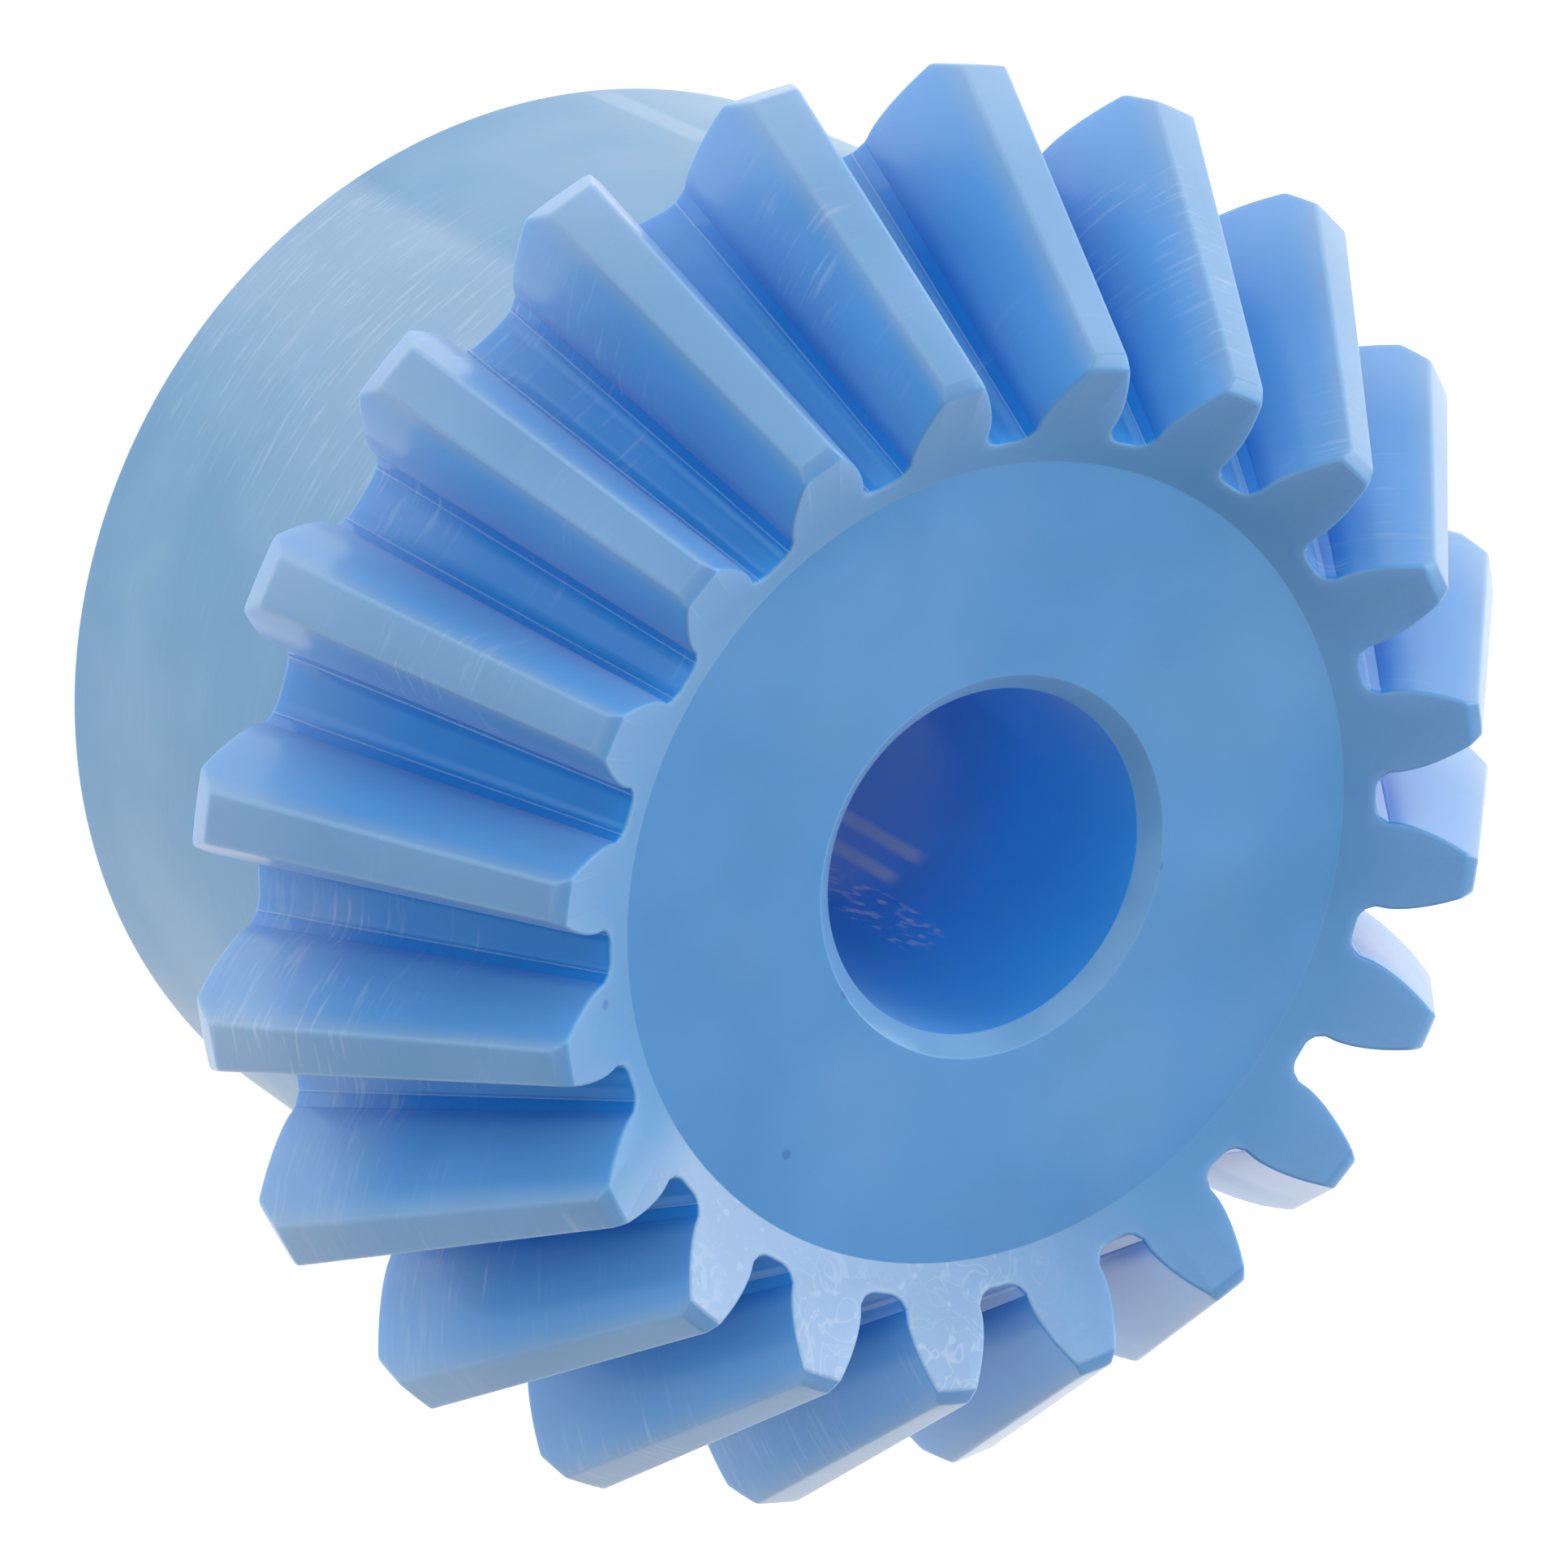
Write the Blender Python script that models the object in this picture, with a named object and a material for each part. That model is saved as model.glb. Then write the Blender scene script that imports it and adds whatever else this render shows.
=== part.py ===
"""Straight bevel gear, 20 teeth, machined from cast nylon, with a plain-bored hub and two hub set screws.

Frame: the origin is the centre of the hub's back face, +Z runs along the bore towards the small end
of the teeth, and one tooth is centred on +X. Lengths are in metres and angles in radians.
"""
import math

import bmesh
import bpy

# Gear data
MODULE = 0.003
TEETH = 20
MATE_TEETH = 30
PRESSURE_ANGLE = math.radians(20)
ADDENDUM = 1.0 * MODULE
DEDENDUM = 1.2 * MODULE
FILLET_RADIUS = 0.4 * MODULE
TOOTH_THICKNESS = 1.02 * math.pi / 2 * MODULE    # at the pitch circle of the large end
FACE_WIDTH = 0.017

# Blank
MOUNTING_DISTANCE = 0.069    # hub back face to the apex of the pitch cone
BODY_LENGTH = 0.036          # hub back face to the flat front face
HUB_DIAMETER = 0.050
BORE_DIAMETER = 0.015
BORE_CHAMFER = 0.0008
HUB_CHAMFER = 0.00025
HEEL_CHAMFER = 0.00115       # leg of the chamfer on the large end of the teeth
TOE_CHAMFER = 0.0005         # leg of the chamfer on the small end of the teeth

# Set screws, M6 x 8 with a cup point, in two tapped holes at right angles
SCREW_AZIMUTHS = (math.pi / 2, math.pi)
SCREW_HEIGHT = 0.010         # screw axis above the hub's back face
SCREW_DIAMETER = 0.0054      # the 6 mm thread, less the gap that keeps it clear of its hole
SCREW_HOLE_DIAMETER = 0.006
SCREW_HOLE_OVERRUN = 0.002   # how far the hole's cutter stands out of the hub
SCREW_LENGTH = 0.008
SCREW_TIP_RADIUS = 0.0084    # distance from the bore's axis to the cup point at rest
SCREW_END_CHAMFER = 0.0007
CUP_DIAMETER = 0.0030
CUP_DEPTH = 0.0007
SOCKET_ACROSS_FLATS = 0.003
SOCKET_DEPTH = 0.0035

# Facets
FLANK_STEPS = 5
FILLET_STEPS = 3
RING_SEGMENTS = 6 * TEETH    # hub and front-face circles
BORE_SEGMENTS = 3 * TEETH
SCREW_SEGMENTS = 24
SMOOTH_ANGLE = math.radians(25)
SAME_ANGLE = 1e-9

NYLON = ("nylon", (0.10, 0.28, 0.62, 1.0), 0.42, 0.0)
STEEL = ("screw_steel", (0.20, 0.20, 0.21, 1.0), 0.35, 1.0)

# Values worked out from the gear data
PITCH_ANGLE = math.atan2(TEETH, MATE_TEETH)
CONE_DISTANCE = MODULE * TEETH / 2 / math.sin(PITCH_ANGLE)
TIP_ANGLE = PITCH_ANGLE + math.atan(ADDENDUM / CONE_DISTANCE)
VIRTUAL_RADIUS = MODULE * TEETH / 2 / math.cos(PITCH_ANGLE)


def clear_scene():
    for item in list(bpy.data.objects):
        bpy.data.objects.remove(item, do_unlink=True)


def make_material(name, colour, roughness, metallic):
    material = bpy.data.materials.new(name)
    material.use_nodes = True
    shader = material.node_tree.nodes["Principled BSDF"]
    shader.inputs["Base Color"].default_value = colour
    shader.inputs["Roughness"].default_value = roughness
    shader.inputs["Metallic"].default_value = metallic
    return material


def involute(angle):
    return math.tan(angle) - angle


def flank_angle(radius):
    """Half-thickness angle of the equivalent spur tooth at a radius on the developed back cone."""
    base_radius = VIRTUAL_RADIUS * math.cos(PRESSURE_ANGLE)
    pressure = math.acos(min(1.0, base_radius / radius))
    half_thickness = TOOTH_THICKNESS / 2 / VIRTUAL_RADIUS
    return half_thickness + involute(PRESSURE_ANGLE) - involute(pressure)


def fillet_points(base_radius):
    """Arc from the radial foot of the flank down to the root circle, as (radius, angle) pairs."""
    root_radius = VIRTUAL_RADIUS - DEDENDUM
    centre_radius = root_radius + FILLET_RADIUS
    centre_angle = flank_angle(base_radius) + math.asin(FILLET_RADIUS / centre_radius)
    points = []
    for step in range(FILLET_STEPS + 1):
        turn = math.pi / 2 * step / FILLET_STEPS
        across = -FILLET_RADIUS * math.cos(turn)
        along = centre_radius - FILLET_RADIUS * math.sin(turn)
        points.append((math.hypot(across, along), centre_angle + math.atan2(across, along)))
    return points


def half_tooth():
    """Half a tooth from tip to root, as (azimuth, cone angle) pairs of lines through the apex."""
    base_radius = VIRTUAL_RADIUS * math.cos(PRESSURE_ANGLE)
    toe_scale = 1 - FACE_WIDTH / CONE_DISTANCE
    heights = [ADDENDUM, ADDENDUM - TOE_CHAMFER / toe_scale, ADDENDUM - HEEL_CHAMFER]
    last = base_radius - VIRTUAL_RADIUS
    heights += [heights[2] + (last - heights[2]) * step / FLANK_STEPS for step in range(1, FLANK_STEPS + 1)]
    outline = [(VIRTUAL_RADIUS + height, flank_angle(VIRTUAL_RADIUS + height)) for height in heights]
    outline += fillet_points(base_radius)
    return [(angle / math.cos(PITCH_ANGLE),
             PITCH_ANGLE + math.atan((radius - VIRTUAL_RADIUS) / CONE_DISTANCE)) for radius, angle in outline]


def tooth_columns():
    """Every column of the toothed surface, in order round the gear."""
    half = half_tooth()
    one = [(-azimuth, cone) for azimuth, cone in reversed(half)] + half
    pitch = 2 * math.pi / TEETH
    return [(azimuth + pitch * tooth, cone) for tooth in range(TEETH) for azimuth, cone in one]


def blank_edge(distance, leg, inward):
    """A chamfered end of the blank in the (radius, height) plane.

    Returns the two chamfer corners, on the tip cone and on the end cone. The end cone stands square
    to the pitch cone at a distance from the apex; inward is +1 where the tip cone goes on towards
    the apex and -1 where it goes on away from it.
    """
    slant = distance / math.cos(TIP_ANGLE - PITCH_ANGLE)
    corner = (slant * math.sin(TIP_ANGLE), MOUNTING_DISTANCE - slant * math.cos(TIP_ANGLE))
    on_tip = (corner[0] - inward * leg * math.sin(TIP_ANGLE), corner[1] + inward * leg * math.cos(TIP_ANGLE))
    on_end = (corner[0] - leg * math.cos(PITCH_ANGLE), corner[1] - leg * math.sin(PITCH_ANGLE))
    return on_tip, on_end


def on_line(cone_angle, point, direction):
    """Where a line through the apex at a cone angle meets the line through a point."""
    line = (math.sin(cone_angle), -math.cos(cone_angle))
    from_apex = (point[0], point[1] - MOUNTING_DISTANCE)
    share = ((from_apex[1] * line[0] - from_apex[0] * line[1])
             / (direction[0] * line[1] - direction[1] * line[0]))
    return point[0] + share * direction[0], point[1] + share * direction[1]


def end_points(cone_angle, on_tip, on_end):
    """Top and foot of the chamfer on one column; the two are one point below the chamfer."""
    chamfer_foot = math.atan2(on_end[0], MOUNTING_DISTANCE - on_end[1])
    if cone_angle <= chamfer_foot + SAME_ANGLE:
        point = on_line(cone_angle, on_end, (math.cos(PITCH_ANGLE), math.sin(PITCH_ANGLE)))
        return point, point
    return on_line(cone_angle, on_end, (on_tip[0] - on_end[0], on_tip[1] - on_end[1])), on_end


def add_column(mesh, azimuth, points):
    """The vertices of one column; a (radius, height) point equal to the last one shares its vertex."""
    column = []
    for index, (radius, height) in enumerate(points):
        if index and points[index - 1] == (radius, height):
            column.append(column[-1])
        else:
            column.append(mesh.verts.new((radius * math.cos(azimuth), radius * math.sin(azimuth), height)))
    return column


def add_ring(mesh, count, radius, height):
    start = -math.pi / TEETH
    ring = []
    for step in range(count):
        azimuth = start + 2 * math.pi * step / count
        ring.append(mesh.verts.new((radius * math.cos(azimuth), radius * math.sin(azimuth), height)))
    return ring


def add_face(mesh, corners):
    """A face without its repeated corners, left out where fewer than three remain."""
    kept = [vertex for index, vertex in enumerate(corners) if vertex is not corners[index - 1]]
    if len(kept) > 2:
        mesh.faces.new(kept)


def bridge(mesh, fine, coarse):
    """Faces between two rings; the fine ring has a whole number of vertices for each coarse one."""
    ratio = len(fine) // len(coarse)
    half = ratio // 2
    for step, vertex in enumerate(coarse):
        following = coarse[(step + 1) % len(coarse)]
        span = [fine[(step * ratio + index) % len(fine)] for index in range(ratio + 1)]
        for index in range(ratio):
            if index == half:
                add_face(mesh, [vertex, span[index], span[index + 1], following])
            else:
                add_face(mesh, [vertex if index < half else following, span[index], span[index + 1]])


def make_gear_body(material):
    heel_tip, heel_end = blank_edge(CONE_DISTANCE, HEEL_CHAMFER, 1)
    toe_tip, toe_end = blank_edge(CONE_DISTANCE - FACE_WIDTH, TOE_CHAMFER, -1)
    mesh = bmesh.new()
    columns = []
    for azimuth, cone_angle in tooth_columns():
        heel_top, heel_foot = end_points(cone_angle, heel_tip, heel_end)
        toe_top, toe_foot = end_points(cone_angle, toe_tip, toe_end)
        columns.append(add_column(mesh, azimuth, (heel_foot, heel_top, toe_top, toe_foot)))
    for index, column in enumerate(columns):
        following = columns[(index + 1) % len(columns)]
        for row in range(3):
            add_face(mesh, [column[row], following[row], following[row + 1], column[row + 1]])

    # The two end cones run in to the hub and to the edge of the flat front face.
    slope = math.tan(PITCH_ANGLE)
    hub_radius = HUB_DIAMETER / 2
    hub_top = heel_end[1] - (heel_end[0] - hub_radius) * slope
    front_radius = toe_end[0] - (toe_end[1] - BODY_LENGTH) / slope
    bore_radius = BORE_DIAMETER / 2
    rings = [
        (RING_SEGMENTS, hub_radius, hub_top),
        (RING_SEGMENTS, hub_radius, HUB_CHAMFER),
        (RING_SEGMENTS, hub_radius - HUB_CHAMFER, 0.0),
        (BORE_SEGMENTS, bore_radius + BORE_CHAMFER, 0.0),
        (BORE_SEGMENTS, bore_radius, BORE_CHAMFER),
        (BORE_SEGMENTS, bore_radius, BODY_LENGTH - BORE_CHAMFER),
        (BORE_SEGMENTS, bore_radius + BORE_CHAMFER, BODY_LENGTH),
        (RING_SEGMENTS, front_radius, BODY_LENGTH),
    ]
    rings = [add_ring(mesh, *ring) for ring in rings]
    loops = [[column[0] for column in columns]] + rings + [[column[3] for column in columns]]
    for first, second in zip(loops, loops[1:]):
        if len(first) >= len(second):
            bridge(mesh, first, second)
        else:
            bridge(mesh, second, first)
    body = finish_object("gear_body", mesh, material)
    for number, azimuth in enumerate(SCREW_AZIMUTHS, start=1):
        cut_screw_hole(body, number, azimuth)
    return body


def finish_object(name, mesh, material):
    """Turn a closed bmesh into a smooth-shaded object with its faces pointing out."""
    bmesh.ops.recalc_face_normals(mesh, faces=mesh.faces)
    data = bpy.data.meshes.new(name)
    mesh.to_mesh(data)
    mesh.free()
    data.materials.append(material)
    data.shade_smooth()
    data.set_sharp_from_angle(angle=SMOOTH_ANGLE)
    item = bpy.data.objects.new(name, data)
    bpy.context.scene.collection.objects.link(item)
    return item


def cut_screw_hole(body, number, azimuth):
    """A radial hole from outside the hub to the bore's axis."""
    mesh = bmesh.new()
    length = HUB_DIAMETER / 2 + SCREW_HOLE_OVERRUN
    radius = SCREW_HOLE_DIAMETER / 2
    bmesh.ops.create_cone(mesh, cap_ends=True, segments=SCREW_SEGMENTS, radius1=radius, radius2=radius,
                          depth=length)
    cutter = bpy.data.objects.new(f"screw_hole_{number}", bpy.data.meshes.new(f"screw_hole_{number}"))
    mesh.to_mesh(cutter.data)
    mesh.free()
    bpy.context.scene.collection.objects.link(cutter)
    place_radially(cutter, azimuth, length / 2)
    cutter.hide_render = True
    cutter.display_type = 'WIRE'
    cut = body.modifiers.new(f"screw_hole_{number}", 'BOOLEAN')
    cut.operation = 'DIFFERENCE'
    cut.object = cutter


def place_radially(item, azimuth, distance):
    """Point an object's own Z outwards from the bore, at a distance from the bore's axis."""
    item.rotation_euler = (0.0, math.pi / 2, azimuth)
    item.location = (distance * math.cos(azimuth), distance * math.sin(azimuth), SCREW_HEIGHT)


def hexagon_radius(azimuth):
    """Distance from the centre to the edge of the hexagonal socket."""
    side = math.pi / 3
    return SOCKET_ACROSS_FLATS / 2 / math.cos((azimuth % side) - side / 2)


def make_set_screw(number, azimuth, material):
    """Cup-point socket set screw; its own Z runs from the cup point to the socket."""
    radius = SCREW_DIAMETER / 2
    turned = [
        (CUP_DIAMETER / 2, 0.0),
        (radius, SCREW_END_CHAMFER),
        (radius, SCREW_LENGTH - SCREW_END_CHAMFER),
        (radius - SCREW_END_CHAMFER, SCREW_LENGTH),
    ]
    mesh = bmesh.new()
    steps = [2 * math.pi * step / SCREW_SEGMENTS for step in range(SCREW_SEGMENTS)]
    rings = [[mesh.verts.new((r * math.cos(a), r * math.sin(a), z)) for a in steps] for r, z in turned]
    for height in (SCREW_LENGTH, SCREW_LENGTH - SOCKET_DEPTH):
        socket = [(hexagon_radius(a) * math.cos(a), hexagon_radius(a) * math.sin(a), height) for a in steps]
        rings.append([mesh.verts.new(corner) for corner in socket])
    cup_centre = mesh.verts.new((0.0, 0.0, CUP_DEPTH))
    for first, second in zip(rings, rings[1:]):
        bridge(mesh, first, second)
    for index, vertex in enumerate(rings[0]):
        mesh.faces.new([cup_centre, vertex, rings[0][index - 1]])
    mesh.faces.new(rings[-1])
    screw = finish_object(f"set_screw_{number}", mesh, material)
    place_radially(screw, azimuth, SCREW_TIP_RADIUS)


def main():
    clear_scene()
    make_gear_body(make_material(*NYLON))
    for number, azimuth in enumerate(SCREW_AZIMUTHS, start=1):
        name, colour, roughness, metallic = STEEL
        make_set_screw(number, azimuth, make_material(f"{name}_{number}", colour, roughness, metallic))


main()
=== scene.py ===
import math

import bmesh
import bpy
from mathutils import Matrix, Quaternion, Vector


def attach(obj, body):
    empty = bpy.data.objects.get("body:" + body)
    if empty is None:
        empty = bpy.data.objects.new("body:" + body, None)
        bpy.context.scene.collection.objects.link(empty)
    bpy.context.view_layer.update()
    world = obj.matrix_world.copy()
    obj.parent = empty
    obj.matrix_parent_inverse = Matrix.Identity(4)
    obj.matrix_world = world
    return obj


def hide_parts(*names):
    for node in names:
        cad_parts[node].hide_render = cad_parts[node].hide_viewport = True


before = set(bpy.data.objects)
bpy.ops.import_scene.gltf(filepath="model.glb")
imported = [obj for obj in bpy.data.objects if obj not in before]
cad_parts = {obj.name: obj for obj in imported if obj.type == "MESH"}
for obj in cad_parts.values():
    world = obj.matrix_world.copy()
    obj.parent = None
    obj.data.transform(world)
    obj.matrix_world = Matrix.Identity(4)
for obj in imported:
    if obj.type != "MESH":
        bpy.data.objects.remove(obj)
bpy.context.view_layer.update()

# Gear data, as in the CAD
MODULE = 0.003
TEETH = 20
MATE_TEETH = 30
PRESSURE_ANGLE = math.radians(20)
ADDENDUM = 1.0 * MODULE
DEDENDUM = 1.2 * MODULE
FILLET_RADIUS = 0.4 * MODULE
TOOTH_THICKNESS = 1.02 * math.pi / 2 * MODULE
FACE_WIDTH = 0.017
MOUNTING_DISTANCE = 0.069
BODY_LENGTH = 0.036
HUB_DIAMETER = 0.050
BORE_DIAMETER = 0.015
BORE_CHAMFER = 0.0008
HEEL_CHAMFER = 0.00115
TOE_CHAMFER = 0.0005
PITCH_ANGLE = math.atan2(TEETH, MATE_TEETH)
CONE_DISTANCE = MODULE * TEETH / 2 / math.sin(PITCH_ANGLE)
VIRTUAL_RADIUS = MODULE * TEETH / 2 / math.cos(PITCH_ANGLE)
BASE_RADIUS = VIRTUAL_RADIUS * math.cos(PRESSURE_ANGLE)
ROOT_RADIUS = VIRTUAL_RADIUS - DEDENDUM
TOE_SCALE = 1 - FACE_WIDTH / CONE_DISTANCE

# Set screws and their tapped holes; the threads clear each other, because the screws slide in the CAD
SCREW_AZIMUTHS = (math.pi / 2, math.pi)
SCREW_HEIGHT = 0.010
SCREW_TIP_RADIUS = 0.0084
SCREW_LENGTH = 0.008
SCREW_CREST = 0.0027
SCREW_ROOT = 0.0023
SCREW_END_CHAMFER = 0.0007
CUP_RADIUS = 0.0015
CUP_DEPTH = 0.0007
SOCKET_ACROSS_FLATS = 0.003
SOCKET_DEPTH = 0.0035
DRILL_POINT = 0.0005         # depth of the drilled cone under the socket
SCREW_CORNER = 0.0001
THREAD_PITCH = 0.001
HOLE_CREST = 0.0028
HOLE_ROOT = 0.0032
HOLE_START = 0.0060          # from the bore's axis, inside the bore
HOLE_COUNTERSINK = 0.0037    # radius of the mouth at the hub's surface

# Rounding of the cut edges
END_ROUND = 0.00016       # where the flanks run out on the two end cones
TIP_ROUND = 0.00020       # between the flanks and the top lands
CHAMFER_ROUND = 0.00012   # half-length of the blend from chamfer to top land
CORNER_ROUND = 0.00012    # turned edges and corners
COLLAR = 0.0002           # from the slots' rounded mouths to the circle that joins them to the turned faces

# The two cutting passes of each slot leave a shallow channel in each fillet, and a fine ridge beside it
CHANNEL_START = math.radians(14)   # round the fillet from the flank
CHANNEL_END = math.radians(50)
CHANNEL_EDGE = math.radians(2)
CHANNEL_DEPTH = 0.00003
RIDGE_HEIGHT = 0.000025
RIDGE_CHANNEL = 0.3                # share of the channel's tint, a painted shade, left on the ridge

# How far each kind of edge is worn pale, from 0 to 1; the fillet's ridge is painted pale as a highlight
RIDGE_HIGHLIGHT = 1.0
TIP_WEAR = 0.15
END_WEAR = 0.3
CORNER_WEAR = 0.2

# Vertex marks read by the nylon's material
EDGE_MARK = "edge"
CHANNEL_MARK = "channel"
TINT = "tint"
ZONES = "zones"    # red: hub wall, green: teeth and slots, blue: the worn toe faces with their painted reflection, alpha: gloss

# Mesh steps
LAND_STEPS = 2
CORNER_STEPS = 4
FLANK_STEPS = 14
CHANNEL_STEPS = 1
FLOOR_STEPS = 5
ROOT_STEPS = 2
END_STEPS = 4
FACE_STEPS = 12
RING_SEGMENTS = 360
ARC_STEPS = 4
THREAD_SEGMENTS = 36
THREAD_STEPS = 6
SMOOTH_ANGLE = math.radians(32)
SAME_AZIMUTH = 1e-7          # radians between vertices that share one vertex of the collar


def involute(angle):
    return math.tan(angle) - angle


def flank_point(radius):
    """Point of the right-hand flank at a radius, in the plane of the equivalent spur gear."""
    pressure = math.acos(min(1.0, BASE_RADIUS / radius))
    angle = TOOTH_THICKNESS / 2 / VIRTUAL_RADIUS + involute(PRESSURE_ANGLE) - involute(pressure)
    return Vector((radius * math.sin(angle), radius * math.cos(angle)))


def fillet_rows():
    """Places round the fillet from the flank to the floor, as (angle, cut depth, channel, worn edge); on the
    ridge the worn edge share is a painted highlight.
    """
    rows = [(CHANNEL_START * share, 0.0, 0.0, 0.0) for share in (0.0, 0.5, 1.0)]
    first = CHANNEL_START + CHANNEL_EDGE
    last = CHANNEL_END - CHANNEL_EDGE
    for step in range(CHANNEL_STEPS + 1):
        rows.append((first + (last - first) * step / CHANNEL_STEPS, CHANNEL_DEPTH, 1.0, 0.0))
    rows.append((CHANNEL_END, -RIDGE_HEIGHT, RIDGE_CHANNEL, RIDGE_HIGHLIGHT))
    rows.append((CHANNEL_END + CHANNEL_EDGE, -RIDGE_HEIGHT / 2, 0.0, RIDGE_HIGHLIGHT / 2))
    first = CHANNEL_END + 2 * CHANNEL_EDGE
    for step in range(FLOOR_STEPS + 1):
        rows.append((first + (math.pi / 2 - first) * step / FLOOR_STEPS, 0.0, 0.0, 0.0))
    return rows


def side_curve(top):
    """Flank, fillet and root down to the slot's middle, as (point, normal in, channel, worn edge); on the
    ridge the worn edge share is a painted highlight.
    """
    curve = []
    lowest = BASE_RADIUS - VIRTUAL_RADIUS
    first = top - TIP_ROUND
    heights = [top] + [first + (lowest - first) * step / FLANK_STEPS for step in range(FLANK_STEPS + 1)]
    nudge = MODULE / 1000
    for height in heights:
        radius = VIRTUAL_RADIUS + height
        run = flank_point(radius + nudge) - flank_point(radius)
        run.normalize()
        curve.append((flank_point(radius), Vector((-run.y, run.x)), 0.0, 0.0))
    centre_radius = ROOT_RADIUS + FILLET_RADIUS
    foot = flank_point(BASE_RADIUS)
    centre_angle = math.atan2(foot.x, foot.y) + math.asin(FILLET_RADIUS / centre_radius)
    across = Vector((math.cos(centre_angle), -math.sin(centre_angle)))
    outward = Vector((math.sin(centre_angle), math.cos(centre_angle)))
    for turn, depth, channel, wear in fillet_rows():
        normal = -across * math.cos(turn) - outward * math.sin(turn)
        curve.append((outward * centre_radius + normal * (FILLET_RADIUS + depth), normal, channel, wear))
    middle = math.pi / TEETH * math.cos(PITCH_ANGLE)
    for step in range(1, ROOT_STEPS + 1):
        angle = centre_angle + (middle - centre_angle) * step / ROOT_STEPS
        outward = Vector((math.sin(angle), math.cos(angle)))
        curve.append((outward * ROOT_RADIUS, -outward, 0.0, 0.0))
    return curve


def half_profile(top, inset):
    """Half a tooth's outline, from the top land's middle to the slot's, as (point, edge, channel)."""
    curve = side_curve(top)
    side = [point + normal * inset for point, normal, _, _ in curve]
    corner = side[0]
    radius = corner.length
    corner_angle = math.atan2(corner.x, corner.y)
    land_angle = corner_angle - TIP_ROUND / radius
    points = []
    for step in range(LAND_STEPS + 1):
        angle = land_angle * step / LAND_STEPS
        points.append((Vector((radius * math.sin(angle), radius * math.cos(angle))), 0.0, 0.0))
    start = points[-1][0]
    for step in range(1, CORNER_STEPS):
        share = step / CORNER_STEPS
        blend = start * (1 - share) ** 2 + corner * 2 * share * (1 - share) + side[1] * share ** 2
        points.append((blend, TIP_WEAR, 0.0))
    points += [(place, wear, channel) for place, (_, _, channel, wear) in zip(side[1:-1], curve[1:-1])]
    middle = math.pi / TEETH * math.cos(PITCH_ANGLE)
    points.append((Vector((math.sin(middle), math.cos(middle))) * side[-1].length, 0.0, 0.0))
    return points


def soft_step(value, half_width):
    """The larger of value and zero, with a parabola in place of the corner."""
    if value <= -half_width:
        return 0.0
    if value >= half_width:
        return value
    return (value + half_width) ** 2 / 4 / half_width


def end_rows(chamfer):
    """Rows from one end of the teeth inwards, as (distance from the end, inset, cut from the tip)."""
    rows = []
    for step in range(END_STEPS + 1):
        turn = math.pi / 2 * step / END_STEPS
        rows.append((END_ROUND * (1 - math.cos(turn)), END_ROUND * (1 - math.sin(turn))))
    last = chamfer - CHAMFER_ROUND
    rows += [(rows[-1][0] + (last - rows[-1][0]) * share, 0.0) for share in (0.5, 1.0)]
    rows += [(chamfer + CHAMFER_ROUND * share, 0.0) for share in (-0.5, 0.0, 0.5, 1.0)]
    return [(x, inset, soft_step(chamfer - x, CHAMFER_ROUND)) for x, inset in rows]


def tooth_rows():
    """Every row from the heel to the toe, as (scale from the apex, inset, tip height) in heel lengths."""
    rows = [(1 - x / CONE_DISTANCE, inset, ADDENDUM - cut) for x, inset, cut in end_rows(HEEL_CHAMFER)]
    toe = [(TOE_SCALE + x / CONE_DISTANCE, inset, cut) for x, inset, cut in end_rows(TOE_CHAMFER)]
    toe = [(scale, inset / scale, ADDENDUM - cut / scale) for scale, inset, cut in reversed(toe)]
    first, last = rows[-1][0], toe[0][0]
    middle = [(first + (last - first) * step / FACE_STEPS, 0.0, ADDENDUM) for step in range(1, FACE_STEPS)]
    return rows + middle + toe


def on_cone(scale, point, tooth):
    """A point of the equivalent spur gear, folded back on to the gear as (azimuth, radius, height)."""
    height = point.length - VIRTUAL_RADIUS
    azimuth = math.atan2(point.x, point.y) / math.cos(PITCH_ANGLE) + tooth * 2 * math.pi / TEETH
    radius = scale * (CONE_DISTANCE * math.sin(PITCH_ANGLE) + height * math.cos(PITCH_ANGLE))
    drop = scale * (CONE_DISTANCE * math.cos(PITCH_ANGLE) - height * math.sin(PITCH_ANGLE))
    return azimuth, radius, MOUNTING_DISTANCE - drop


def add_vertex(mesh, azimuth, radius, height, edge=0.0, channel=0.0):
    """A vertex marked with its share of worn edge (on the fillet's ridge, a painted highlight) and of the
    fillet's channel.
    """
    vertex = mesh.verts.new((radius * math.cos(azimuth), radius * math.sin(azimuth), height))
    vertex[mesh.verts.layers.float[EDGE_MARK]] = edge
    vertex[mesh.verts.layers.float[CHANNEL_MARK]] = channel
    return vertex


def new_mesh():
    mesh = bmesh.new()
    mesh.verts.layers.float.new(EDGE_MARK)
    mesh.verts.layers.float.new(CHANNEL_MARK)
    return mesh


def tooth_ring(mesh, scale, inset, top):
    """One closed row of the toothed surface, as (azimuth, vertex) pairs."""
    half = half_profile(top, inset)
    mirrored = [(Vector((-point.x, point.y)), edge, channel)
                for point, edge, channel in reversed(half[1:-1])]
    end_share = min(1.0, inset / END_ROUND)
    ring = []
    for tooth in range(TEETH):
        for point, edge, channel in mirrored + half:
            place = on_cone(scale, point, tooth)
            worn = max(edge * (1 - end_share), END_WEAR * end_share)
            ring.append((place[0], add_vertex(mesh, *place, worn, channel * (1 - end_share))))
    return ring


def follow_ring(mesh, ring, radius, height):
    """A circle with a vertex at each azimuth of a ring."""
    made = []
    for azimuth, _ in ring:
        if made and azimuth - made[-1][0] < SAME_AZIMUTH:
            made.append(made[-1])
        else:
            made.append((azimuth, add_vertex(mesh, azimuth, radius, height)))
    return made


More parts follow.
